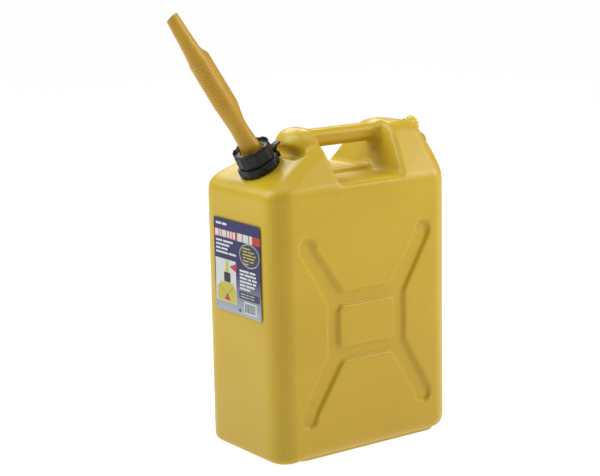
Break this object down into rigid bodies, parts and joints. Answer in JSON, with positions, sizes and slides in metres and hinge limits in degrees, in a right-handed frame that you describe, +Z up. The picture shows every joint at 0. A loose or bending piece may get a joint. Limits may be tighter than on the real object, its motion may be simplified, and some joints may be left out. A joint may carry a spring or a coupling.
{
  "type": "fuel can",
  "caption": "Upright plastic fuel can with moulded carrying handle, tilted neck, screw collar, long pouring spout and a tethered rear vent cap.",
  "frame": {"origin": "centre of the flat base pad, on the surface the can stands on", "axes": "+Z up, -Y towards the spout end, +Y towards the vent end, X across the broad faces"},
  "size_m": [0.186, 0.4393, 0.6279],
  "materials": {
    "can_plastic": "satin blow-moulded polyethylene, yellow",
    "spout_plastic": "satin polyethylene, ochre yellow",
    "collar_plastic": "satin black",
    "seal_rubber": "dull black",
    "cap_plastic": "satin polyethylene, yellow",
    "label_film": "printed film, blue, white and red"
  },
  "bodies": {
    "can": {"can_tank": "can_plastic", "can_top": "can_plastic", "lock_ring": "collar_plastic", "tether_stud": "cap_plastic", "front_label": "label_film"},
    "seal": {"spout_gasket": "seal_rubber"},
    "spout": {"spout_tube": "spout_plastic"},
    "collar": {"screw_collar": "collar_plastic"},
    "lock_tab": {"lock_tab": "collar_plastic"},
    "tether": {"vent_tether": "cap_plastic"},
    "vent_cap": {"vent_cap": "cap_plastic", "vent_liner": "seal_rubber"}
  },
  "joints": [
    {"name": "spout_lift", "type": "slide", "parent": "can", "child": "seal", "axis": [0, -0.4384, 0.8988], "range_m": [0, 0.01]},
    {"name": "spout_swivel", "type": "hinge", "parent": "seal", "child": "spout", "pos_m": [0, -0.1124, 0.405], "axis": [0, -0.4384, 0.8988], "continuous": true},
    {"name": "collar_turn", "type": "hinge", "parent": "seal", "child": "collar", "pos_m": [0, -0.1124, 0.405], "axis": [0, -0.4384, 0.8988], "range_deg": [0, 720]},
    {"name": "lock_tab_press", "type": "hinge", "parent": "can", "child": "lock_tab", "pos_m": [0, -0.08707, 0.42514], "axis": [-1, 0, 0], "range_deg": [0, 14], "stiffness_Nm_per_rad": 0.05},
    {"name": "vent_lift", "type": "slide", "parent": "can", "child": "tether", "axis": [0, 0.9336, 0.3584], "range_m": [0, 0.008], "deforming": ["vent_tether"]},
    {"name": "vent_turn", "type": "hinge", "parent": "tether", "child": "vent_cap", "pos_m": [0, 0.146, 0.438], "axis": [0, 0.9336, 0.3584], "range_deg": [0, 720]}
  ],
  "couplings": [
    {"joint": "collar_turn", "follows": "spout_lift", "rad_per_m": 1256.6},
    {"joint": "vent_turn", "follows": "vent_lift", "rad_per_m": 1570.8}
  ]
}
